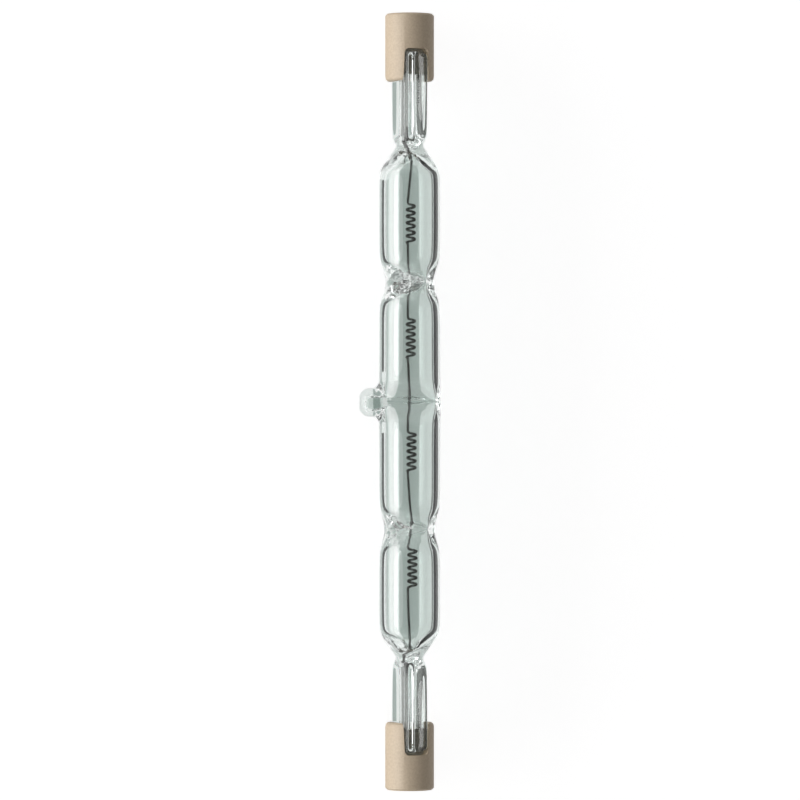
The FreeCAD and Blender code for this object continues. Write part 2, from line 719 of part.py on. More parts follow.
pieces = [quartz_envelope(), tungsten_filament()]
for end, frame in ENDS:
    for kind, build in BODY_PIECES:
        body = new_body(f"{end}_{kind}")
        build(body, f"{end}_{kind}")
        body.Placement = LAMP * frame
        pieces.append(body)
    lead = outer_lead(f"{end}_outer_lead")
    lead.Placement = LAMP * frame
    pieces.append(lead)

doc.recompute()

for item in doc.Objects:
    if any(flag in item.State for flag in ("Invalid", "Error")):
        raise RuntimeError(f"{item.Name} failed: {item.State}")
for piece in pieces:
    shape = piece.Shape
    if shape.isNull() or not shape.isValid() or len(shape.Solids) != 1:
        raise RuntimeError(f"{piece.Label} is not one valid solid")
    box = shape.BoundBox
    print(f"{piece.Label}: {shape.Volume:.3f} mm3, z {box.ZMin:.3f} to {box.ZMax:.3f}")
for piece in pieces:
    piece.Shape.exportStep(f"parts/{piece.Label}.step")
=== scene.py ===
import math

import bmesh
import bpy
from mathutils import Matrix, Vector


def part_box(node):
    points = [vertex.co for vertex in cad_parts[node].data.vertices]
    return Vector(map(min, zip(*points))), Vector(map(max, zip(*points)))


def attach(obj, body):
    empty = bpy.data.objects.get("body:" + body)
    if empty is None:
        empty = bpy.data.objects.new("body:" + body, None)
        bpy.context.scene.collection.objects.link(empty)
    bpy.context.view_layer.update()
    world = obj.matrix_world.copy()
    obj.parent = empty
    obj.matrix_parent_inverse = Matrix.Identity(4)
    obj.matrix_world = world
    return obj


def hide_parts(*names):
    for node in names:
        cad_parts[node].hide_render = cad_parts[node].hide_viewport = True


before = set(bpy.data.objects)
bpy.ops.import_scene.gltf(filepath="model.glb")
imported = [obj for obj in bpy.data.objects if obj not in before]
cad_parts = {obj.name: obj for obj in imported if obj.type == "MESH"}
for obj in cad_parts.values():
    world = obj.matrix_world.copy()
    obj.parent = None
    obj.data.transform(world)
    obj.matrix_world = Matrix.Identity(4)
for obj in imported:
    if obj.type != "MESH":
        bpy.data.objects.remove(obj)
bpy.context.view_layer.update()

# %% [markdown]
# A linear halogen bulb is a clear quartz tube with a ceramic cap on each end. It lies on a pale floor, on
# its tube and on the side of its exhaust tip, and the camera looks down on it.
# Every piece is modelled in millimetres, upright and round the lamp's own axis, because that is how its
# sizes are known. At the end one matrix lays it down into the frame, in metres.

MM = 0.001

# %% [markdown]
# The caps are turned pieces, so the middle of a cap's box lies on the lamp's axis, and the height of that
# axis is the radius of the tube that rests on the floor. The roll brings the round end of the exhaust tip
# down to the floor as well. These places could be typed in, but read from the frame they stay true when
# the solids change.

# %% Places taken from the frame
cap_low, cap_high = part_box("upper_ceramic_cap")
axis_x = (cap_low.x + cap_high.x) / 2
axis_z = (cap_low.z + cap_high.z) / 2
HALF_LENGTH = cap_high.y / MM
CAP_MOUTH = cap_low.y / MM
CAP_RADIUS = (cap_high.z - cap_low.z) / 2 / MM
TUBE_RADIUS = axis_z / MM
TIP_REACH = 7.8
TIP_RADIUS = 2.08
TIP_PLACE = -0.1
# The pressed seals and the caps are turned round the axis, by this many degrees from edge-on
SEAL_TWIST = 19
SEAL_TURN = math.radians(SEAL_TWIST - 90)

roll = math.asin((TUBE_RADIUS - TIP_RADIUS) / (TIP_REACH - TIP_RADIUS))
right = Vector((math.cos(roll), 0, math.sin(roll)))
away = Vector((math.sin(roll), 0, -math.cos(roll)))
along = Vector((0, 1, 0))
# Matrices that lay down what is modelled upright: the lamp, and what turns with each seal
LAMP = Matrix.Translation((axis_x, 0, axis_z)) @ Matrix((right, away, along)).transposed().to_4x4()
UPPER = LAMP @ Matrix.Rotation(SEAL_TURN, 4, "Z")
LOWER = UPPER @ Matrix.Rotation(math.pi, 4, "X")
ENDS = {"upper": UPPER, "lower": LOWER}
print("roll of the lamp in degrees:", round(math.degrees(roll), 2))

# %% [markdown]
# The photograph was taken with a long lens, level with the middle of the lamp. The camera looks along
# the lamp's own away direction, which from this lying lamp is steeply down. Its lens follows from its
# distance and from how much it has to show, and it is moved aside until the lamp's middle lies on the
# right pixel.

# %% Camera
CAMERA_DISTANCE = 0.78
SENSOR_WIDTH = 36
FRAME_HALF = 0.06066
FRAME_PIXELS = 800
AXIS_PIXEL = 409.6
MIDDLE_PIXEL = 401.75
pixel = 2 * FRAME_HALF / FRAME_PIXELS
shift_right = (AXIS_PIXEL - FRAME_PIXELS / 2) * pixel
shift_down = (MIDDLE_PIXEL - FRAME_PIXELS / 2) * pixel
aim = Vector((axis_x, 0, axis_z)) - right * shift_right + along * shift_down
camera_data = bpy.data.cameras.new("camera")
camera_data.sensor_width = SENSOR_WIDTH
camera_data.lens = SENSOR_WIDTH / 2 * CAMERA_DISTANCE / FRAME_HALF
camera = bpy.data.objects.new("camera", camera_data)
bpy.context.scene.collection.objects.link(camera)
turned_to_lamp = Matrix((right, along, -away)).transposed().to_4x4()
camera.matrix_world = Matrix.Translation(aim - away * CAMERA_DISTANCE) @ turned_to_lamp
bpy.context.scene.camera = camera
print("lens in mm:", round(camera_data.lens, 1))

# %% [markdown]
# A material is a small network of nodes round one shader. The view stays Standard, so a colour renders
# about as it is written. These helpers add a material or a node in one line, and let a colour, a number
# or a bump follow a mask.

# %% Helpers for materials
bpy.context.scene.view_settings.view_transform = "Standard"


def new_material(name):
    """A material with its nodes, its links and its main shader."""
    material = bpy.data.materials.new(name)
    material.use_nodes = True
    nodes = material.node_tree.nodes
    return material, nodes, material.node_tree.links, nodes["Principled BSDF"]


def add(nodes, kind, **settings):
    """A shader node with its properties set by name."""
    node = nodes.new(kind)
    for key, value in settings.items():
        setattr(node, key, value)
    return node


def between_colours(nodes, links, mask, first, second):
    """A colour that goes from one to another with a mask."""
    mix = add(nodes, "ShaderNodeMix", data_type="RGBA")
    mix.inputs["A"].default_value = (*first, 1)
    mix.inputs["B"].default_value = (*second, 1)
    links.new(mask, mix.inputs["Factor"])
    return mix.outputs["Result"]


def between_values(nodes, links, mask, low, high):
    """A number that goes from one to another with a mask."""
    spread = add(nodes, "ShaderNodeMapRange")
    spread.inputs["To Min"].default_value = low
    spread.inputs["To Max"].default_value = high
    links.new(mask, spread.inputs["Value"])
    return spread.outputs["Result"]


def bump(nodes, links, height, strength, depth):
    """A bump from a height mask. depth is in metres."""
    node = add(nodes, "ShaderNodeBump")
    node.inputs["Strength"].default_value = strength
    node.inputs["Distance"].default_value = depth
    links.new(height, node.inputs["Height"])
    return node.outputs["Normal"]


# %% [markdown]
# Three small effects make the finishes, and each is a node group, so that several finishes can share it:
# an even grain for what was pressed from powder, marks along the lamp for what was drawn or rolled, and
# rings for what was turned. Image textures could show them too, but a pattern made from coordinates has no
# seams and stays sharp. The groups put out a mask or a height, and the material decides what to do with it.

# %% Helpers for effects
def new_group(name, inputs, outputs):
    """A shader node group with float inputs, given with their defaults, and float outputs."""
    group = bpy.data.node_groups.new(name, "ShaderNodeTree")
    for title, value in inputs:
        socket = group.interface.new_socket(title, in_out="INPUT", socket_type="NodeSocketFloat")
        socket.default_value = value
    for title in outputs:
        group.interface.new_socket(title, in_out="OUTPUT", socket_type="NodeSocketFloat")
    entry = add(group.nodes, "NodeGroupInput")
    leave = add(group.nodes, "NodeGroupOutput")
    return group, entry, leave


def effect(nodes, group, **values):
    """A node group placed in a material, with its own values."""
    node = add(nodes, "ShaderNodeGroup", node_tree=group)
    for title, value in values.items():
        node.inputs[title].default_value = value
    return node


# %% Grain of pressed powder
# Size is in grains per metre. The noise seldom leaves its middle, so only that range becomes the mask.
GRAIN_DETAIL = 3
GRAIN_NOISE_RANGE = (0.35, 0.65)
grain_group, entry, leave = new_group(
    "pressed_grain", (("Size", 3000.0), ("Contrast", 0.5)), ("Mask", "Height"),
)
nodes = grain_group.nodes
links = grain_group.links
place = add(nodes, "ShaderNodeTexCoord")
fine = add(nodes, "ShaderNodeTexNoise")
fine.inputs["Detail"].default_value = GRAIN_DETAIL
spots = add(nodes, "ShaderNodeTexVoronoi")
gather = add(nodes, "ShaderNodeMapRange")
gather.inputs["From Min"].default_value = GRAIN_NOISE_RANGE[0]
gather.inputs["From Max"].default_value = GRAIN_NOISE_RANGE[1]
fade = add(nodes, "ShaderNodeMath", operation="MULTIPLY")
for pattern in (fine, spots):
    links.new(place.outputs["Object"], pattern.inputs["Vector"])
    links.new(entry.outputs["Size"], pattern.inputs["Scale"])
links.new(fine.outputs["Fac"], gather.inputs["Value"])
links.new(gather.outputs["Result"], fade.inputs[0])
links.new(entry.outputs["Contrast"], fade.inputs[1])
links.new(fade.outputs[0], leave.inputs["Mask"])
links.new(spots.outputs["Distance"], leave.inputs["Height"])
print(grain_group.name, len(nodes), "nodes")

# %% Marks of drawing and rolling
# Width is in marks per metre, and the marks are much longer along the lamp than they are wide
MARK_DETAIL = 2
MARK_STRETCH = 60
mark_group, entry, leave = new_group("drawn_marks", (("Width", 9000.0),), ("Mask",))
nodes = mark_group.nodes
links = mark_group.links
place = add(nodes, "ShaderNodeTexCoord")
stretch = add(nodes, "ShaderNodeMapping")
stretch.inputs["Scale"].default_value = (1, 1 / MARK_STRETCH, 1)
streaks = add(nodes, "ShaderNodeTexNoise")
streaks.inputs["Detail"].default_value = MARK_DETAIL
links.new(place.outputs["Object"], stretch.inputs["Vector"])
links.new(stretch.outputs["Vector"], streaks.inputs["Vector"])
links.new(entry.outputs["Width"], streaks.inputs["Scale"])
links.new(streaks.outputs["Fac"], leave.inputs["Mask"])
print(mark_group.name, len(nodes), "nodes")

# %% Rings of turning
# Rings round the lamp's axis, in rings per metre
RING_WANDER = 0.6
ring_group, entry, leave = new_group("turned_rings", (("Rings", 700.0),), ("Mask",))
nodes = ring_group.nodes
links = ring_group.links
place = add(nodes, "ShaderNodeTexCoord")
centre = add(nodes, "ShaderNodeMapping")
centre.inputs["Location"].default_value = (-axis_x, 0, -axis_z)
rings = add(nodes, "ShaderNodeTexWave", wave_type="RINGS", rings_direction="Y")
rings.inputs["Distortion"].default_value = RING_WANDER
links.new(place.outputs["Object"], centre.inputs["Vector"])
links.new(centre.outputs["Vector"], rings.inputs["Vector"])
links.new(entry.outputs["Rings"], rings.inputs["Scale"])
links.new(rings.outputs["Fac"], leave.inputs["Mask"])
print(ring_group.name, len(nodes), "nodes")


# %% [markdown]
# The stage is made of flat sheets: a floor, a bright sheet, the front of the softbox and some cards. Some
# of them should be met by one kind of light only. A switch of the object can hide it from a kind of ray,
# and the Light Path node can tell its material by which kind it is seen.

# %% Helpers for the stage
def any_ray(nodes, links, *kinds):
    """1 where a surface is met by one of these kinds of ray, and otherwise 0."""
    seen = add(nodes, "ShaderNodeLightPath")
    found = seen.outputs[f"Is {kinds[0]} Ray"]
    for kind in kinds[1:]:
        either = add(nodes, "ShaderNodeMath", operation="MAXIMUM")
        links.new(found, either.inputs[0])
        links.new(seen.outputs[f"Is {kind} Ray"], either.inputs[1])
        found = either.outputs[0]
    return found


def flat_sheet(name, middle, size, material, unseen_by=(), turn=(0, 0, 0)):
    """A flat sheet with its place in its mesh, unseen by some kinds of ray."""
    bpy.ops.object.select_all(action="DESELECT")
    bpy.ops.mesh.primitive_plane_add(size=1, location=middle)
    sheet = bpy.context.object
    sheet.name = name
    sheet.rotation_euler = turn
    sheet.scale = (*size, 1)
    bpy.ops.object.transform_apply(location=True, rotation=True, scale=True)
    sheet.data.materials.append(material)
    for kind in unseen_by:
        setattr(sheet, f"visible_{kind}", False)
    return sheet


# %% [markdown]
# The floor is a plain pale sheet. A white background could be painted behind the picture, but then the
# glass would show something else than the camera does. So what the camera, a mirror or the glass sees of
# the floor gets some light of its own, and it turns white while a trace of the soft shadow stays.

# %% Floor
FLOOR_SIZE = 6
FLOOR_GLOW = 0.76
floor_paint, nodes, links, paint = new_material("floor_paint")
paint.inputs["Base Color"].default_value = (0.8, 0.8, 0.8, 1)
paint.inputs["Roughness"].default_value = 0.9
paint.inputs["Specular IOR Level"].default_value = 0.2
glow = add(nodes, "ShaderNodeEmission")
glow.inputs["Color"].default_value = (1, 1, 1, 1)
seen = any_ray(nodes, links, "Camera", "Glossy", "Transmission")
links.new(between_values(nodes, links, seen, 0, FLOOR_GLOW), glow.inputs["Strength"])
both = add(nodes, "ShaderNodeAddShader")
links.new(paint.outputs[0], both.inputs[0])
links.new(glow.outputs[0], both.inputs[1])
links.new(both.outputs[0], nodes["Material Output"].inputs["Surface"])
floor = flat_sheet("floor", (0, 0, 0), (FLOOR_SIZE, FLOOR_SIZE), floor_paint)
print("floor in m:", FLOOR_SIZE)

# %% [markdown]
# One low softbox on the left lights the lamp, as the bright left and dim right of the caps show. A point
# light would give hard shadows, so it is an area light, long and narrow like the lamp itself.

# %% Softbox
SOFTBOX_TURN = -54
SOFTBOX_DISTANCE = 0.6
SOFTBOX_LENGTH = 0.8
SOFTBOX_WIDTH = 0.17
SOFTBOX_POWER = 1.8


def beside(turn, distance):
    """A place that is turned by an angle from the camera, round the lamp."""
    angle = math.radians(turn)
    return right * (math.sin(angle) * distance) - away * (math.cos(angle) * distance)


softbox_data = bpy.data.lights.new("left_softbox", "AREA")
softbox_data.shape = "RECTANGLE"
softbox_data.size = SOFTBOX_LENGTH
softbox_data.size_y = SOFTBOX_WIDTH
softbox_data.energy = SOFTBOX_POWER
softbox = bpy.data.objects.new("left_softbox", softbox_data)
bpy.context.scene.collection.objects.link(softbox)
softbox.location = beside(SOFTBOX_TURN, SOFTBOX_DISTANCE)
softbox.rotation_euler = softbox.location.to_track_quat("Z", "Y").to_euler()
print("softbox at:", [round(value, 3) for value in softbox.location])

# %% [markdown]
# The rest of the light is the world. As light on matt things it is even and weak, but the camera, the
# glass and the metals see a studio in it, with pale walls and a dark ceiling. A picture of a studio would
# do the same, but a ramp over the height of the view direction is enough.

# %% World
WORLD_LIGHT = 0.25
WALL_GLOW = 0.85
CEILING_GLOW = 0.1
# The height of the view direction at which the wall starts to darken, and at which it is the ceiling
WALL_TOP = (0.35, 0.8)
world = bpy.data.worlds.new("studio")
bpy.context.scene.world = world
world.use_nodes = True
nodes = world.node_tree.nodes
links = world.node_tree.links
nodes["Background"].inputs["Color"].default_value = (1, 1, 1, 1)
direction = add(nodes, "ShaderNodeTexCoord")
parts = add(nodes, "ShaderNodeSeparateXYZ")
links.new(direction.outputs["Generated"], parts.inputs["Vector"])
wall = add(nodes, "ShaderNodeMapRange", interpolation_type="SMOOTHSTEP")
wall.inputs["From Min"].default_value = WALL_TOP[0]
wall.inputs["From Max"].default_value = WALL_TOP[1]
wall.inputs["To Min"].default_value = WALL_GLOW
wall.inputs["To Max"].default_value = CEILING_GLOW
links.new(parts.outputs["Z"], wall.inputs["Value"])
as_light = add(nodes, "ShaderNodeMix", data_type="FLOAT")
links.new(any_ray(nodes, links, "Diffuse"), as_light.inputs["Factor"])
links.new(wall.outputs["Result"], as_light.inputs["A"])
as_light.inputs["B"].default_value = WORLD_LIGHT
links.new(as_light.outputs["Result"], nodes["Background"].inputs["Strength"])
print("world:", len(nodes), "nodes")

# %% [markdown]
# The floor hides what would shine from under its own level, so the softbox goes on there as a bright
# sheet on the floor, beyond the left edge of the lamp. The camera doesn't see it, but the glass mirrors
# it and the caps are lit by it. Only its upper side shines.

# %% Bright sheet
SHEET_NEAR = 0.011
SHEET_FAR = 0.16
SHEET_LENGTH = 0.4
SHEET_LIFT = 0.00008
SHEET_GLOW = 1.7
MIRRORED_GLOW = 3.0
sheet_glow, nodes, links, paint = new_material("sheet_glow")
nodes.remove(paint)
glow = add(nodes, "ShaderNodeEmission")
mirrored = any_ray(nodes, links, "Glossy", "Transmission")
links.new(between_values(nodes, links, mirrored, SHEET_GLOW, MIRRORED_GLOW), glow.inputs["Strength"])
clear = add(nodes, "ShaderNodeBsdfTransparent")
side_of = add(nodes, "ShaderNodeNewGeometry")
one_sided = add(nodes, "ShaderNodeMixShader")
links.new(side_of.outputs["Backfacing"], one_sided.inputs["Fac"])
links.new(glow.outputs[0], one_sided.inputs[1])
links.new(clear.outputs[0], one_sided.inputs[2])
links.new(one_sided.outputs[0], nodes["Material Output"].inputs["Surface"])
bright_sheet = flat_sheet(
    "bright_sheet", (axis_x - (SHEET_NEAR + SHEET_FAR) / 2, 0, SHEET_LIFT),
    (SHEET_FAR - SHEET_NEAR, SHEET_LENGTH), sheet_glow, unseen_by=("camera", "shadow"),
)
print("bright sheet in m:", round(SHEET_FAR - SHEET_NEAR, 3), "by", SHEET_LENGTH)

# %% [markdown]
# An area light isn't seen by what it lights, so a glowing sheet just before the softbox is what the ribs
# of the glass mirror as long white lines. Light crosses many walls of glass before it leaves the lamp
# again, so it may bounce more often than usual.

# %% Front of the softbox
FRONT_DISTANCE = 0.59
FRONT_GLOW = 5.5
front_glow, nodes, links, paint = new_material("front_glow")
nodes.remove(paint)
glow = add(nodes, "ShaderNodeEmission")
glow.inputs["Strength"].default_value = FRONT_GLOW
links.new(glow.outputs[0], nodes["Material Output"].inputs["Surface"])
front_place = beside(SOFTBOX_TURN, FRONT_DISTANCE)
mirrored_front = flat_sheet(
    "mirrored_front", front_place, (SOFTBOX_LENGTH, SOFTBOX_WIDTH), front_glow,
    unseen_by=("camera", "diffuse", "shadow"), turn=front_place.to_track_quat("Z", "Y").to_euler(),
)
bounces = bpy.context.scene.cycles
bounces.max_bounces = 32
bounces.glossy_bounces = 24
bounces.transmission_bounces = 24
print("bounces of light:", bounces.max_bounces)

# %% [markdown]
# Clear glass has no colour to paint: what it shows is what lies round it. So cards lie on the floor, and
# only light that has come through the glass meets them, so what they put into the glass is painted shade
# and a painted highlight. The wall of a tube bends light outwards most where it meets the bore, so the near
# edge of a black card sets how wide the dark line of painted shade at that side is. A grey card and a white
# one under the tube glow, and give it its grey middle as painted shade and its white band as a painted
# highlight, and pale glowing cards give the softer greys at the left wall and in the seals as painted
# shade. The left black cards leave a gap under the exhaust tip, which is clear.

# %% Cards of painted shade and highlight
CARD_LIFT = 0.0001
CARD_ROUGHNESS = 0.9
# The colour of each paint, the colour of its glow and how much it glows; the glow is painted light that
# only the glass shows
PAINTS = {
    # Black: painted shade, the dark lines at the edges of the glass
    "painted_shade_black": ((0.03, 0.03, 0.03), (1, 1, 1), 0.0),
    # Pale: painted shade, the softer greys at the left wall and in the seals
    "painted_shade_pale": ((0.5, 0.55, 0.53), (0.9, 1, 0.97), 0.35),
    # Grey: painted shade, the grey middle of the tube
    "painted_shade_middle": ((0.5, 0.545, 0.525), (0.96, 1, 0.985), 0.49),
    # White: a painted highlight, the white band of the tube
    "painted_highlight_white": ((0.8, 0.77, 0.78), (1, 0.94, 0.96), 0.98),
}
# The cards carry painted shade and a painted highlight into the glass
# Each card's edges across the lamp, measured from the strip that shows through its axis, and along it
CARDS = {
    "right_card": ((0.0077, 0.06), (-0.07, 0.07), "painted_shade_black"),
    "left_upper_card": ((-0.0078, -0.0063), (0.0045, 0.034), "painted_shade_black"),
    "left_lower_card": ((-0.0078, -0.0063), (-0.12, -0.0047), "painted_shade_black"),
    "left_pale_card": ((-0.0063, -0.0049), (-0.12, 0.034), "painted_shade_pale"),
    "middle_shade_card": ((-0.0021, 0.002), (-0.0395, 0.0395), "painted_shade_middle"),
    "white_highlight_card": ((-0.0042, -0.0023), (-0.0385, 0.0385), "painted_highlight_white"),
    "upper_seal_shade_card": ((-0.0034, -0.0012), (0.0405, 0.0487), "painted_shade_pale"),
    "lower_seal_shade_card": ((-0.0034, -0.0012), (-0.0487, -0.0405), "painted_shade_pale"),
}
paints = {}
for name, (colour, glow_colour, strength) in PAINTS.items():
    paints[name], nodes, links, paint = new_material(name)
    paint.inputs["Base Color"].default_value = (*colour, 1)
    paint.inputs["Roughness"].default_value = CARD_ROUGHNESS
    paint.inputs["Emission Color"].default_value = (*glow_colour, 1)
    paint.inputs["Emission Strength"].default_value = strength
strip_middle = axis_x + axis_z * math.tan(roll)
for name, (across, lengthwise, paint_name) in CARDS.items():
    card = flat_sheet(
        name, (strip_middle + sum(across) / 2, sum(lengthwise) / 2, CARD_LIFT),
        (across[1] - across[0], lengthwise[1] - lengthwise[0]), paints[paint_name],
        unseen_by=("camera", "diffuse", "glossy", "shadow", "volume_scatter"),
    )
print("cards:", len(CARDS))


# %% [markdown]
# The pieces are made with the operators that a modeller clicks. An operator works on all that is
# selected, so each helper starts from nothing selected and picks what it needs by its place. Scaling is
# always about a given centre and along given axes, because a script has no view to take them from.

# %% Helpers for modelling
# How near a point has to be to a place to count as there, in mm
NEAR = 0.01


def pick(*pieces):
    """Selects these objects and nothing else. The first is the active one."""
    bpy.ops.object.select_all(action="DESELECT")
    for piece in pieces:
        piece.select_set(True)
    bpy.context.view_layer.objects.active = pieces[0]


def start_ring(name, sides, radius, place):
    """A new object that is one open ring across the Z axis, left in edit mode with the ring selected."""
    bpy.ops.object.select_all(action="DESELECT")
    bpy.ops.mesh.primitive_circle_add(
        vertices=sides, radius=radius, fill_type="NOTHING", location=place,
    )
    piece = bpy.context.object
    piece.name = name
    bpy.ops.object.transform_apply(location=True, rotation=False, scale=False)
    bpy.ops.object.mode_set(mode="EDIT")
    bpy.ops.mesh.select_all(action="SELECT")
    return piece


def extrude(step=0.0):
    """Extrudes what is selected and moves the new part along the lamp by a step."""
    bpy.ops.mesh.extrude_region_move(TRANSFORM_OT_translate={"value": (0, 0, step)})


def scale_about(centre, factors, axes):
    """Scales what is selected about a place, along three axes."""
    bpy.ops.transform.resize(
        value=factors, orient_type="GLOBAL", orient_matrix=axes,
        orient_matrix_type="GLOBAL", center_override=centre,
    )


def squeeze(factors, place, turn=0.0):
    """Scales what is selected about the axis at a place, along and across a direction turned from X."""
    first = (math.cos(turn), math.sin(turn), 0)
    second = (-math.sin(turn), math.cos(turn), 0)
    scale_about((0, 0, place), (*factors, 1), (first, second, (0, 0, 1)))


def select_vertices(piece, wanted):
    """Selects the vertices that a test picks, and nothing else, in edit mode."""
    bpy.ops.mesh.select_mode(type="VERT")
    bpy.ops.mesh.select_all(action="DESELECT")
    mesh = bmesh.from_edit_mesh(piece.data)
    for vertex in mesh.verts:
        vertex.select_set(wanted(vertex.co))
    mesh.select_flush(True)
    bmesh.update_edit_mesh(piece.data)


def select_faces(piece, wanted):
    """Selects the faces whose middles a test picks, and nothing else, in edit mode."""
    bpy.ops.mesh.select_mode(type="FACE")
    bpy.ops.mesh.select_all(action="DESELECT")
    mesh = bmesh.from_edit_mesh(piece.data)
    for face in mesh.faces:
        face.select_set(wanted(face.calc_center_median()))
    bmesh.update_edit_mesh(piece.data)


def all_outwards(inside=False):
    """Merges doubles and turns every face outwards, or inwards, in edit mode."""
    bpy.ops.mesh.select_all(action="SELECT")
    bpy.ops.mesh.remove_doubles(threshold=0.0005)
    bpy.ops.mesh.normals_make_consistent(inside=inside)


def apply_modifier(piece, kind, name, **settings):
    """Adds a modifier, sets it up and applies it."""
    modifier = piece.modifiers.new(name, kind)
    for key, value in settings.items():
        setattr(modifier, key, value)
    pick(piece)
    bpy.ops.object.modifier_apply(modifier=name)


def lay_down(piece, matrix):
    """Takes a finished piece from millimetres round the lamp's axis to its place in the frame."""
    piece.matrix_world = matrix @ Matrix.Scale(MM, 4)
    pick(piece)
    bpy.ops.object.transform_apply(location=True, rotation=True, scale=True)
    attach(piece, "root")


def finish_with(piece, material):
    """Gives a piece one material in place of what it had."""
    piece.data.materials.clear()
    piece.data.materials.append(material)


# %% [markdown]
# The quartz envelope is blown from one tube and pressed while it is hot. It could be stacked from solids,
# but hot glass flows and leaves no edge between one form and the next. So it starts as a ring of 32
# points that is extruded along the lamp ring by ring, and each new ring is squeezed to the next section:
# round, pressed to an oval in a waist, closing to the neck, and pressed flat with two ribs along each edge
# in the seals. A subdivision surface then rounds it all.

# %% Sizes of the envelope
RING_SIDES = 32
# A subdivision surface lies a little inside its ring of points, so the ring is that much wider
CAGE = 1.00645
WALL = 0.95
BORE_RADIUS = TUBE_RADIUS - WALL
BORE_WIDE = 3.55
BULB_HALF = 34.0
SHOULDER = 4.6
SHOULDER_STEPS = 6
SHOULDER_ARC = 0.7
NECK = (3.5, 1.9)
SEAL_END = 53.1
WAIST_HALF = 4.1
WAIST_THIN = 2.6
WAIST_STEPS = 8
CREASE_STEP = 0.16
# Each waist: its place, the direction in which it was pressed, in the frame of the seals, how much the
# outside bulges across that, and how thin the bore is left
WAISTS = (
    (-19.35, math.radians(47) - SEAL_TURN, 0.0, 0.96),
    (0.0, math.radians(90) - SEAL_TURN, 0.1, 0.56),
    (18.15, math.radians(42) - SEAL_TURN, 0.0, 0.51),
)
print("radius of the tube and of its bore in mm:", round(TUBE_RADIUS, 2), round(BORE_RADIUS, 2))


def swell(part):
    """Smooth step from 0 to 1 and back, for part from -1 to 1."""
    return (1 + math.cos(math.pi * part)) / 2


def shoulder_share(part):
    """Roundness of a shoulder, from 0 at the neck to 1 where the tube is round."""
    return SHOULDER_ARC * math.sin(math.pi * part / 2) + (1 - SHOULDER_ARC) * swell(1 - part)


# %% [markdown]
# A waist is where the hot tube was pressed nearly on to the filament, to hold it in the middle. It could be
# dented by moving points by hand, but the outside and the bore need the same waists. So one helper squeezes
# the rings of any waist, and another makes the whole tube with all three.

# %% The body of the tube
def waist_rings(at, turn, round_radius, thin, wide, crease):
    """Extrudes the rings of one waist, each squeezed from the section of the ring before it.

    The subdivision surface averages each ring with its neighbours, as 1 to 4 to 1. The middle ring is made
    that much narrower, so that the finished waist is as thin as it should be. A crease is a fine line that
    the edges of the jaws leave across the middle: two rings close to it, and a step of that depth."""
    before = (round_radius, round_radius)
    next_thin = round_radius + (thin - round_radius) * swell(2 / WAIST_STEPS)
    at_ring = at - WAIST_HALF
    for step in range(1, WAIST_STEPS + 1):
        part = 2 * step / WAIST_STEPS - 1
        place = at + WAIST_HALF * part
        extrude(place - at_ring)
        at_ring = place
        thin_now = round_radius + (thin - round_radius) * swell(part)
        if part == 0:
            thin_now = (6 * thin - 2 * next_thin) / 4
        now = (thin_now, round_radius + (wide - round_radius) * swell(part))
        squeeze((now[0] / before[0], now[1] / before[1]), place, turn)
        before = now
        if part == 0 and crease:
            for thinner in (now[0] - crease, now[0]):
                extrude(CREASE_STEP)
                at_ring += CREASE_STEP
                squeeze((thinner / before[0], 1), at_ring, turn)
                before = (thinner, now[1])


def long_body(round_radius, section_of, crease=0.0):
    """Extrudes the tube from one shoulder to the other. section_of gives a waist's thin and wide half."""
    place = -BULB_HALF
    for waist in WAISTS:
        for _ in range(2):
            extrude((waist[0] - WAIST_HALF - place) / 2)
        waist_rings(waist[0], waist[1], round_radius, *section_of(waist), crease)
        place = waist[0] + WAIST_HALF
    for _ in range(2):
        extrude((BULB_HALF - place) / 2)


def closing_rings(side, round_radius, length, steps, end):
    """Extrudes the tube on at one side, from round to an oval, and returns where it ends."""
    before = (round_radius, round_radius)
    place = side * BULB_HALF
    for step in range(1, steps + 1):
        share = shoulder_share(1 - step / steps)
        extrude(side * length / steps)
        place += side * length / steps
        now = [small + (round_radius - small) * share for small in end]
        squeeze((now[0] / before[0], now[1] / before[1]), place)
        before = now
    return place


def select_ring(piece, place):
    """Selects the ring of points at a place along the lamp."""
    select_vertices(piece, lambda spot: abs(spot.z - place) < NEAR)


# %% [markdown]
# A press seal is the end of the tube, flattened in a jaw on to the foil so that it is tight. The jaw
# leaves a thin web with a pair of ribs along each edge, and a groove between the ribs of a pair. Each
# ring of the seal starts as the neck's oval, and its points are then moved to the pressed section in
# groups of four that mirror each other.

# %% The ends of the tube
# One quarter of the section of a seal, from the groove between its ribs to the middle of its web. The
# flanks of the groove slope by 46 degrees, so the one on the right mirrors the softbox.
SEAL_QUARTER = (
    (2.15, 0.0), (2.45, 0.32), (2.87, 0.74), (3.34, 1.18), (3.52, 1.46),
    (3.3, 1.76), (2.7, 1.84), (1.7, 1.25), (0.0, 1.1),
)
# Places of the seal's rings, from the neck, and how near each is to the pressed section
SEAL_STATIONS = (
    (0.45, 0.0), (0.9, 0.35), (1.5, 0.75), (2.3, 0.92), (7.0, 0.97), (13.2, 1.0), (13.9, 1.0),
)
# How much smaller the very end of the seal is
SEAL_TAPER = (0.94, 0.84)


def to_seal_section(piece, place, share):
    """Moves a ring from the neck's oval towards the section of the seal."""
    for index, target in enumerate(SEAL_QUARTER):
        angle = 2 * math.pi * index / RING_SIDES
        oval = (NECK[0] * CAGE * math.cos(angle), NECK[1] * CAGE * math.sin(angle))
        goal = [start + (end - start) * share for start, end in zip(oval, target)]
        select_vertices(piece, lambda spot: (
            abs(spot.z - place) < NEAR
            and abs(abs(spot.x) - oval[0]) < NEAR
            and abs(abs(spot.y) - oval[1]) < NEAR
        ))
        factors = [end / start if start > NEAR else 1 for start, end in zip(oval, goal)]
        squeeze(factors, place)


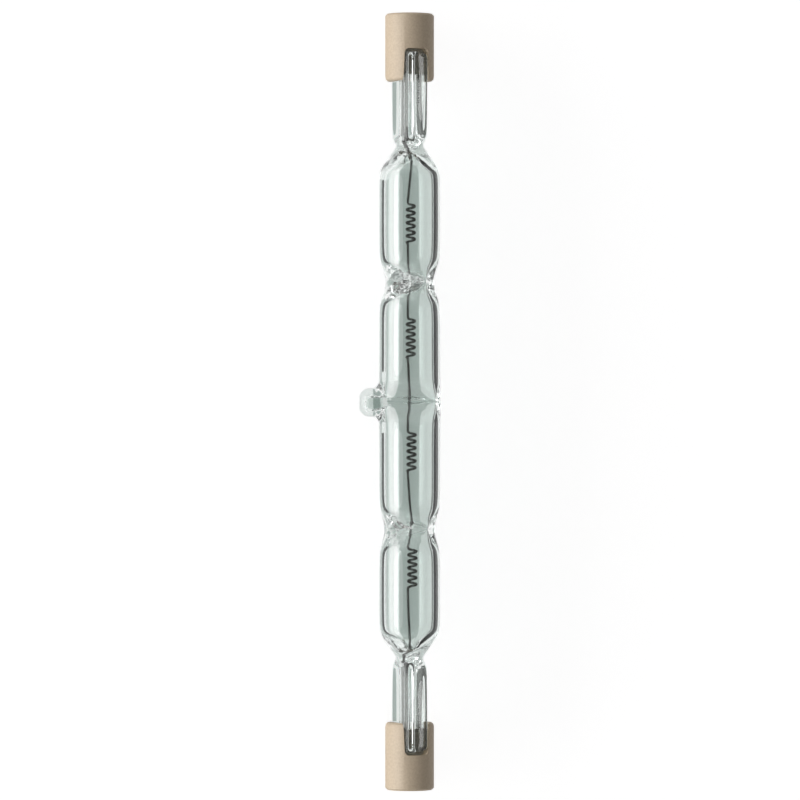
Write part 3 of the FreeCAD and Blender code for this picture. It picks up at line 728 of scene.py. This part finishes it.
def seal_rings(piece, side):
    """Extrudes the shoulder, the neck and the seal of one end of the tube."""
    neck = closing_rings(side, TUBE_RADIUS, SHOULDER, SHOULDER_STEPS, NECK)
    place = neck
    made = []
    for step, share in SEAL_STATIONS:
        extrude(neck + side * step - place)
        place = neck + side * step
        made.append((place, share))
    extrude(side * SEAL_END - place)
    squeeze(SEAL_TAPER, side * SEAL_END)
    bpy.ops.mesh.edge_face_add()
    for place, share in made:
        to_seal_section(piece, place, share)


# %% Outside of the envelope
outside = start_ring("quartz_glass", RING_SIDES, TUBE_RADIUS * CAGE, (0, 0, -BULB_HALF))
long_body(TUBE_RADIUS, lambda waist: (WAIST_THIN, TUBE_RADIUS + waist[2]))
for side in (1, -1):
    select_ring(outside, side * BULB_HALF)
    seal_rings(outside, side)
all_outwards()
bpy.ops.object.mode_set(mode="OBJECT")
print("cage of the glass:", len(outside.data.vertices), "vertices")

# %% [markdown]
# The exhaust tip is where the tube was filled with its gas and melted shut. A ball could be joined to
# the tube with a boolean, but its root would be a hard edge. Here a patch of the tube's faces is extruded
# sideways, rounded to a circle and closed to a bead, so the root flares into the tube as melted glass
# does.

# %% Exhaust tip
tip_angle = math.pi - SEAL_TURN
tip_way = Vector((math.cos(tip_angle), math.sin(tip_angle), 0))
tip_side = Vector((-math.sin(tip_angle), math.cos(tip_angle), 0))
TIP_AXES = (tuple(tip_way), tuple(tip_side), (0, 0, 1))
# Half width and half length of the patch that the tip grows from, outside and in the bore
OUTER_PATCH = (1.9, 3.2)
INNER_PATCH = (0.8, 1.1)
# Each ring's reach from the axis, and its half width across and along the lamp
OUTER_TIP = (
    (4.72, 2.0, 2.9), (5.05, 2.1, 2.3), (5.45, 2.05, 2.1), (6.15, 2.2, 2.25), (7.0, 1.9, 1.95),
    (7.58, 1.15, 1.2),
)
INNER_TIP = ((4.3, 0.9, 1.1), (5.2, 1.1, 1.15), (6.1, 1.2, 1.2), (6.55, 0.75, 0.75))


def tip_patch(piece, half_wide, half_long):
    """Selects the faces of the tube's wall where the tip leaves it, in edit mode."""
    pick(piece)
    bpy.ops.object.mode_set(mode="EDIT")
    select_faces(piece, lambda spot: (
        spot.dot(tip_way) > 0
        and abs(spot.dot(tip_side)) < half_wide
        and abs(spot.z - TIP_PLACE) < half_long
    ))


def tip_ring(reach, wide, long, shape_rim):
    """Extrudes the patch to a reach from the axis, flat across the tip, with an oval rim."""
    extrude()
    centre = tip_way * reach + Vector((0, 0, TIP_PLACE))
    mesh = bmesh.from_edit_mesh(bpy.context.object.data)
    picked = [vertex.co for vertex in mesh.verts if vertex.select]
    middle = sum(picked, Vector()) / len(picked)
    bpy.ops.transform.translate(value=centre - middle)
    scale_about(centre, (0, 1, 1), TIP_AXES)
    if shape_rim:
        keep = [vertex.index for vertex in mesh.verts if vertex.select]
        bpy.ops.mesh.region_to_loop()
        bpy.ops.transform.tosphere(value=1.0)
        mesh = bmesh.from_edit_mesh(bpy.context.object.data)
        mesh.verts.ensure_lookup_table()
        for index in keep:
            mesh.verts[index].select_set(True)
        mesh.select_flush(True)
    mesh = bmesh.from_edit_mesh(bpy.context.object.data)
    rim = [vertex.co - centre for vertex in mesh.verts if vertex.select]
    across = wide / max(abs(spot.dot(tip_side)) for spot in rim)
    lengthwise = long / max(abs(spot.z) for spot in rim)
    scale_about(centre, (1, across, lengthwise), TIP_AXES)


def grow_tip(piece, patch, tip_rings):
    """Draws the tip out of the wall, ring by ring. The rim of the first ring is rounded."""
    tip_patch(piece, *patch)
    for number, ring in enumerate(tip_rings):
        tip_ring(*ring, shape_rim=number == 0)
    bpy.ops.object.mode_set(mode="OBJECT")


grow_tip(outside, OUTER_PATCH, OUTER_TIP)
print("glass with its tip:", len(outside.data.vertices), "vertices")

# %% [markdown]
# The cavity holds the filament and its gas. A solidify modifier would give one even wall, but pressed
# glass is thick in the waists and thin in the shoulders. So the cavity is a second skin, made in the same
# way and turned inside out, so that light passes from glass to gas there. It follows the waists, which
# all but close on the filament, and ends in domes.

# %% Inside of the envelope
DOME_LENGTH = 3.7
DOME_END = (1.3, 0.3)
DOME_STEPS = 5
CREASE_DEPTH = 0.14
cavity = start_ring("cavity", RING_SIDES, BORE_RADIUS * CAGE, (0, 0, -BULB_HALF))
long_body(BORE_RADIUS, lambda waist: (waist[3], BORE_WIDE), crease=CREASE_DEPTH)
for side in (1, -1):
    select_ring(cavity, side * BULB_HALF)
    closing_rings(side, BORE_RADIUS, DOME_LENGTH, DOME_STEPS, DOME_END)
    bpy.ops.mesh.edge_face_add()
all_outwards(inside=True)
bpy.ops.object.mode_set(mode="OBJECT")
grow_tip(cavity, INNER_PATCH, INNER_TIP)
print("cage of the cavity:", len(cavity.data.vertices), "vertices")

# %% [markdown]
# Where the glass was heated and pressed its surface is not quite even, and each dimple is a small lens. A
# bump in the material would only tilt the light at the surface. A displace modifier moves the points
# there a few hundredths of a millimetre, through a vertex group that fades out on the drawn tube, so the
# dimples are real in the mesh.

# %% Ripple of the worked glass
RIPPLE_DEPTH = 0.17
RIPPLE_SIZE = 1.1
# How much each region was worked: the middle waist outside and in the bore, the necks and the seals
OUTSIDE_MIDDLE = 0.25
CAVITY_MIDDLE = 0.5
NECK_WORKED = 0.6
SEAL_WORKED = 0.12
WORKED_HALF = WAIST_HALF * 0.8
# Where the seal starts, beyond the neck, as a share of the shoulder's length
SEAL_FROM = 0.8
worked_texture = bpy.data.textures.new("worked_glass", "CLOUDS")
worked_texture.noise_scale = RIPPLE_SIZE
worked_texture.noise_depth = 1


def worked_share(place, middle_share):
    """How much the glass at a place along the lamp was worked, from 0 to 1."""
    share = 0
    for waist in WAISTS:
        part = (place - waist[0]) / WORKED_HALF
        if abs(part) < 1:
            share = swell(part) * (middle_share if waist[0] == 0 else 1)
    neck = (abs(place) - BULB_HALF - SHOULDER) / SHOULDER
    if abs(neck) < 1:
        share = NECK_WORKED * swell(neck)
    return max(share, SEAL_WORKED if neck >= SEAL_FROM else 0)


def ripple(skin, middle_share):
    """Moves the points of a skin where it was worked."""
    group = skin.vertex_groups.new(name="worked")
    for vertex in skin.data.vertices:
        group.add([vertex.index], worked_share(vertex.co.z, middle_share), "REPLACE")
    apply_modifier(
        skin, "DISPLACE", "ripple", texture=worked_texture, texture_coords="LOCAL", mid_level=0.5,
        strength=RIPPLE_DEPTH, vertex_group="worked",
    )


# %% [markdown]
# Both skins are smoothed and rippled, and then joined. One mesh with an outside and an inside is what the
# renderer needs to know where the glass is. It takes the place of the solid envelope.

# %% Joining the two skins
for skin, middle_share in ((outside, OUTSIDE_MIDDLE), (cavity, CAVITY_MIDDLE)):
    apply_modifier(skin, "SUBSURF", "smooth", levels=2, render_levels=2)
    ripple(skin, middle_share)
pick(outside, cavity)
bpy.ops.object.join()
bpy.ops.object.shade_smooth()
lay_down(outside, UPPER)
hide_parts("quartz_envelope")
print("glass:", len(outside.data.polygons), "faces")

# %% [markdown]
# Fused quartz is the clearest of glasses and bends light less than window glass does. A shader that is all
# transmission, perfectly smooth and with the right index of refraction gives that by itself. A faint grey
# green stands for what the thick walls take from the light, and the drawing of the tube left very fine
# lines, as a slight bump.

# %% Quartz glass
QUARTZ_TINT = (0.765, 0.81, 0.792)
QUARTZ_IOR = 1.458
DRAWN_LINES = 1800.0
LINE_STRENGTH = 0.12
LINE_DEPTH = 0.00002
glass, nodes, links, shader = new_material("fused_quartz")
shader.inputs["Base Color"].default_value = (*QUARTZ_TINT, 1)
shader.inputs["Roughness"].default_value = 0.0
shader.inputs["Transmission Weight"].default_value = 1
shader.inputs["IOR"].default_value = QUARTZ_IOR
lines = effect(nodes, mark_group, Width=DRAWN_LINES).outputs["Mask"]
links.new(bump(nodes, links, lines, LINE_STRENGTH, LINE_DEPTH), shader.inputs["Normal"])
finish_with(outside, glass)
print(glass.name, len(nodes), "nodes")

# %% [markdown]
# The filament is one coiled wire that is coiled again: a fine primary coil, bent four times into a
# secondary coil. Modelled as one plain wire it would look like a spring. So the path of the big coils and
# their legs comes first, as a row of points, and a fine coil is then bent along it.

# %% Path of the filament
COIL_RADIUS = 0.6
COIL_PITCH = 1.0
COIL_TURNS = 6
COIL_BEND = 0.42
STEPS_PER_TURN = 24
BEND_STEPS = 5
LEG_ASIDE = 0.28
LEG_OFFSET = Matrix.Rotation(SEAL_TURN, 3, "Z") @ Vector((0, -LEG_ASIDE, 0))
# Place of each coil along the lamp and its turn round the leg, in degrees
COILS = ((-25.2, 5), (-7.6, 35), (9.6, 50), (27.0, 50))
TAIL_END = 41.6
# Small bends of the legs, made where the glass was pressed on them, as side and place along the lamp
LEG_BENDS = (
    (0.3, -36.8), (0.05, -31.0), (0.32, -20.4), (0.5, -18.7), (0.02, -2.2), (0.24, -1.3), (0.25, 1.0),
    (0.08, 5.0), (-0.08, 17.4), (-0.02, 19.3), (0.62, 36.9),
)


def coil_points(middle, turn):
    """Points of one coil with its bends, from its lower leg to its upper leg."""
    climb = math.atan(COIL_PITCH / (2 * math.pi * COIL_RADIUS))
    overrun = COIL_BEND * (1 - math.sin(climb))
    leg = math.hypot(COIL_RADIUS, overrun)
    sweep = 2 * math.pi * COIL_TURNS - 2 * math.atan2(overrun, COIL_RADIUS)
    steps = COIL_TURNS * STEPS_PER_TURN
    winding = []
    for step in range(steps + 1):
        angle = sweep * (step / steps - 0.5)
        around = math.pi * (COIL_TURNS + 1) + angle
        winding.append(Vector((
            leg + COIL_RADIUS * math.cos(around), -COIL_RADIUS * math.sin(around),
            middle + COIL_PITCH * angle / (2 * math.pi),
        )))

    def bend(start, side):
        """Points of the bend from an end of the winding to its leg."""
        level = Vector((-start.x, -start.y, 0)).normalized()
        up = Vector((0, 0, side))
        centre = start + (up * math.cos(climb) - level * math.sin(climb)) * COIL_BEND
        angles = [climb + (math.pi / 2 - climb) * step / BEND_STEPS for step in range(1, BEND_STEPS + 1)]
        return [centre + (level * math.sin(angle) - up * math.cos(angle)) * COIL_BEND for angle in angles]

    points = bend(winding[0], -1)[::-1] + winding + bend(winding[-1], 1)
    around_leg = Matrix.Rotation(math.radians(turn), 3, "Z")
    return [around_leg @ point for point in points]


path_points = [Vector((0, 0, -TAIL_END)), Vector((0, 0, TAIL_END))]
path_points += [Vector((side, 0, place)) for side, place in LEG_BENDS]
for middle, turn in COILS:
    path_points += coil_points(middle, turn)
# The wire climbs all the way, so its points are in order of their height
path_points = sorted((point + LEG_OFFSET for point in path_points), key=lambda point: point.z)
path_length = sum((after - before).length for before, after in zip(path_points, path_points[1:]))
path_data = bpy.data.curves.new("filament_path", "CURVE")
path_data.dimensions = "3D"
spline = path_data.splines.new("POLY")
spline.points.add(len(path_points) - 1)
for knot, point in zip(spline.points, path_points):
    knot.co = (*point, 1)
path = bpy.data.objects.new("filament_path", path_data)
bpy.context.scene.collection.objects.link(path)
print("filament path in mm:", round(path_length, 1))

# %% [markdown]
# The fine coil is a small ring of six points. A screw modifier winds it along X until it is as long as the
# path. A curve modifier then bends it along the path, and the path is no longer needed.

# %% Primary coil
WIRE_RADIUS = 0.062
WIRE_SIDES = 6
PRIMARY_RADIUS = 0.158
PRIMARY_PITCH = 0.165
PRIMARY_STEPS = 8
primary_turns = round(path_length / PRIMARY_PITCH)
filament = start_ring("coiled_filament", WIRE_SIDES, WIRE_RADIUS, (0, PRIMARY_RADIUS, 0))
bpy.ops.object.mode_set(mode="OBJECT")
apply_modifier(
    filament, "SCREW", "wind", axis="X", angle=2 * math.pi, screw_offset=path_length / primary_turns,
    iterations=primary_turns, steps=PRIMARY_STEPS, render_steps=PRIMARY_STEPS,
    use_merge_vertices=False, use_smooth_shade=True,
)
apply_modifier(filament, "CURVE", "coil", object=path, deform_axis="POS_X")
bpy.data.objects.remove(path)
bpy.ops.object.mode_set(mode="EDIT")
bpy.ops.mesh.select_all(action="SELECT")
bpy.ops.mesh.normals_make_consistent(inside=False)
bpy.ops.object.mode_set(mode="OBJECT")
lay_down(filament, LAMP)
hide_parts("tungsten_filament")
print("filament:", primary_turns, "turns and", len(filament.data.polygons), "faces")

# %% [markdown]
# The metals are the drawn tungsten wire, the rolled foils, the drawn leads and the turned contacts. They
# could each be one plain grey, but metal shows how it was made. So they share one recipe: a metallic
# shader whose colour, roughness and bump follow marks along a wire or foil, or rings on a contact.

# %% Metals
MARK_STRENGTH = 0.25
MARK_DEPTH = 0.00001


def metal(name, group, values, dark, light, roughness):
    """A metal with the marks of its making, from a dark to a light tone and between two roughnesses."""
    material, nodes, links, shader = new_material(name)
    shader.inputs["Metallic"].default_value = 1
    marks = effect(nodes, group, **values).outputs["Mask"]
    links.new(between_colours(nodes, links, marks, dark, light), shader.inputs["Base Color"])
    links.new(between_values(nodes, links, marks, *roughness), shader.inputs["Roughness"])
    links.new(bump(nodes, links, marks, MARK_STRENGTH, MARK_DEPTH), shader.inputs["Normal"])
    return material


tungsten = metal(
    "drawn_tungsten", mark_group, {"Width": 6000.0},
    dark=(0.1, 0.097, 0.093), light=(0.2, 0.195, 0.185), roughness=(0.36, 0.5),
)
molybdenum = metal(
    "rolled_molybdenum", mark_group, {"Width": 2500.0},
    dark=(0.34, 0.34, 0.335), light=(0.5, 0.5, 0.49), roughness=(0.28, 0.45),
)
lead_metal = metal(
    "lead_molybdenum", mark_group, {"Width": 7000.0},
    dark=(0.3, 0.29, 0.28), light=(0.46, 0.45, 0.43), roughness=(0.25, 0.4),
)
nickel = metal(
    "turned_nickel", ring_group, {"Rings": 700.0},
    dark=(0.55, 0.5, 0.42), light=(0.68, 0.64, 0.56), roughness=(0.22, 0.38),
)
finish_with(filament, tungsten)
print("metals:", tungsten.name, molybdenum.name, lead_metal.name, nickel.name)

# %% [markdown]
# The caps are steatite, a dense cream ceramic that is pressed from powder and fired without a glaze, and
# each seal is held in its cap by a coarser cement. The colour of steatite is almost even, with a fine
# darker speckle, and its surface is as matt as an eggshell, so a high roughness and a very fine bump do
# more for it than its colour.

# %% Ceramic and cement
CREAM = (0.67, 0.545, 0.4)
CREAM_SPECKLE = (0.585, 0.465, 0.33)
CEMENT = (0.6, 0.57, 0.5)
CEMENT_SPECKLE = (0.4, 0.37, 0.32)
# Strength and depth of each bump, the depth in metres
FINE_BUMP = (0.3, 0.00004)
COARSE_BUMP = (0.6, 0.00012)
ceramic, nodes, links, shader = new_material("steatite")
grain = effect(nodes, grain_group, Size=3200.0, Contrast=0.7).outputs
speckle = between_colours(nodes, links, grain["Mask"], CREAM, CREAM_SPECKLE)
links.new(speckle, shader.inputs["Base Color"])
links.new(between_values(nodes, links, grain["Mask"], 0.48, 0.68), shader.inputs["Roughness"])
links.new(bump(nodes, links, grain["Height"], *FINE_BUMP), shader.inputs["Normal"])

cement, nodes, links, shader = new_material("cap_cement")
grain = effect(nodes, grain_group, Size=1800.0, Contrast=1.0).outputs
speckle = between_colours(nodes, links, grain["Mask"], CEMENT, CEMENT_SPECKLE)
links.new(speckle, shader.inputs["Base Color"])
shader.inputs["Roughness"].default_value = 0.9
links.new(bump(nodes, links, grain["Height"], *COARSE_BUMP), shader.inputs["Normal"])
print("ceramics:", ceramic.name, cement.name)

# %% [markdown]
# A cap is a short cylinder with a recess for the contact at its end and a slot across its mouth, in which
# the seal shows. It is turned from its profile, ring by ring, and its slot is cut with a boolean, as the
# real one is left open by a blade in the mould. A bevel then takes the sharpness off all its edges.

# %% Ceramic caps
CAP_SIDES = 96
HOLE_RADIUS = 0.85
RIM_RADIUS = 3.4
RECESS_RADIUS = 2.4
RECESS_MOUTH = 2.75
RECESS_FLOOR = 57.1
SEAT_RADIUS = 1.92
SEAT_FLOOR = 56.6
EDGE_ROUNDING = 0.12
# Only edges sharper than these angles are rounded, and shaded as edges
EDGE_ANGLE = math.radians(30)
SHARP_ANGLE = math.radians(35)
SLOT_FLOOR = 53.45
SLOT_HALF = 1.85
SLOT_FLARE = 1.16
SLOT_CORNER = 0.7
# The cutter is wider than the cap and sticks out of its mouth
CUTTER_WIDTH = 10
CUTTER_START = CAP_MOUTH - 2
# Radius and place along the lamp, round the wall and back to the mouth
cap_profile = (
    (HOLE_RADIUS, CAP_MOUTH), (3.35, CAP_MOUTH), (3.62, CAP_MOUTH + 0.25), (CAP_RADIUS, CAP_MOUTH + 0.7),
    (CAP_RADIUS, HALF_LENGTH - 0.3), (RIM_RADIUS, HALF_LENGTH), (RECESS_MOUTH, HALF_LENGTH),
    (RECESS_RADIUS, HALF_LENGTH - 0.35), (RECESS_RADIUS, RECESS_FLOOR), (SEAT_RADIUS, RECESS_FLOOR),
    (SEAT_RADIUS, SEAT_FLOOR), (HOLE_RADIUS, SEAT_FLOOR), (HOLE_RADIUS, CAP_MOUTH),
)


def turned(name, profile):
    """A turned piece from its profile, given as radius and place along the lamp."""
    piece = start_ring(name, CAP_SIDES, profile[0][0], (0, 0, profile[0][1]))
    for before, after in zip(profile, profile[1:]):
        extrude(after[1] - before[1])
        factor = after[0] / before[0]
        squeeze((factor, factor), after[1])
    all_outwards()
    bpy.ops.object.mode_set(mode="OBJECT")
    return piece


def slot_cutter():
    """A block that flares towards the mouth of the cap, with the corners of its floor rounded."""
    bpy.ops.object.select_all(action="DESELECT")
    bpy.ops.mesh.primitive_cube_add(size=1, location=(0, 0, (SLOT_FLOOR + CUTTER_START) / 2))
    cutter = bpy.context.object
    cutter.scale = (CUTTER_WIDTH, 2 * SLOT_HALF, SLOT_FLOOR - CUTTER_START)
    bpy.ops.object.transform_apply(location=True, rotation=False, scale=True)
    bpy.ops.object.mode_set(mode="EDIT")
    select_faces(cutter, lambda spot: spot.z < CUTTER_START + 0.1)
    squeeze((1, SLOT_FLARE), CUTTER_START)
    bpy.ops.mesh.select_mode(type="EDGE")
    mesh = bmesh.from_edit_mesh(cutter.data)
    for edge in mesh.edges:
        middle = (edge.verts[0].co + edge.verts[1].co) / 2
        edge.select_set(abs(middle.x) < NEAR and middle.z > SLOT_FLOOR - NEAR and abs(middle.y) > 0.1)
    bmesh.update_edit_mesh(cutter.data)
    bpy.ops.mesh.bevel(offset=SLOT_CORNER, segments=6, affect="EDGES")
    bpy.ops.object.mode_set(mode="OBJECT")
    return cutter


def ceramic_cap(end):
    """One finished cap in its place."""
    cap = turned(f"{end}_cap", cap_profile)
    cutter = slot_cutter()
    apply_modifier(cap, "BOOLEAN", "slot", operation="DIFFERENCE", object=cutter, solver="EXACT")
    bpy.data.objects.remove(cutter)
    apply_modifier(
        cap, "BEVEL", "edges", width=EDGE_ROUNDING, segments=3, limit_method="ANGLE",
        angle_limit=EDGE_ANGLE, harden_normals=False,
    )
    bpy.ops.object.shade_smooth_by_angle(angle=SHARP_ANGLE)
    lay_down(cap, ENDS[end])
    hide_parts(f"{end}_ceramic_cap")
    finish_with(cap, ceramic)
    return cap


for end in ENDS:
    cap = ceramic_cap(end)
    print(cap.name, len(cap.data.polygons), "faces")

# %% [markdown]
# The foils, leads, contacts and cement are small and plain, and most of each lies inside glass or
# ceramic. Their solids already have the right shape, so they are kept as they are and only get their
# finish.

# %% Carried-over pieces
finishes = {
    "cap_cement": cement, "contact_button": nickel, "molybdenum_foil": molybdenum, "outer_lead": lead_metal,
}
for end in ENDS:
    for kind, material in finishes.items():
        finish_with(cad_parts[f"{end}_{kind}"], material)
print("carried-over pieces:", len(ENDS) * len(finishes))
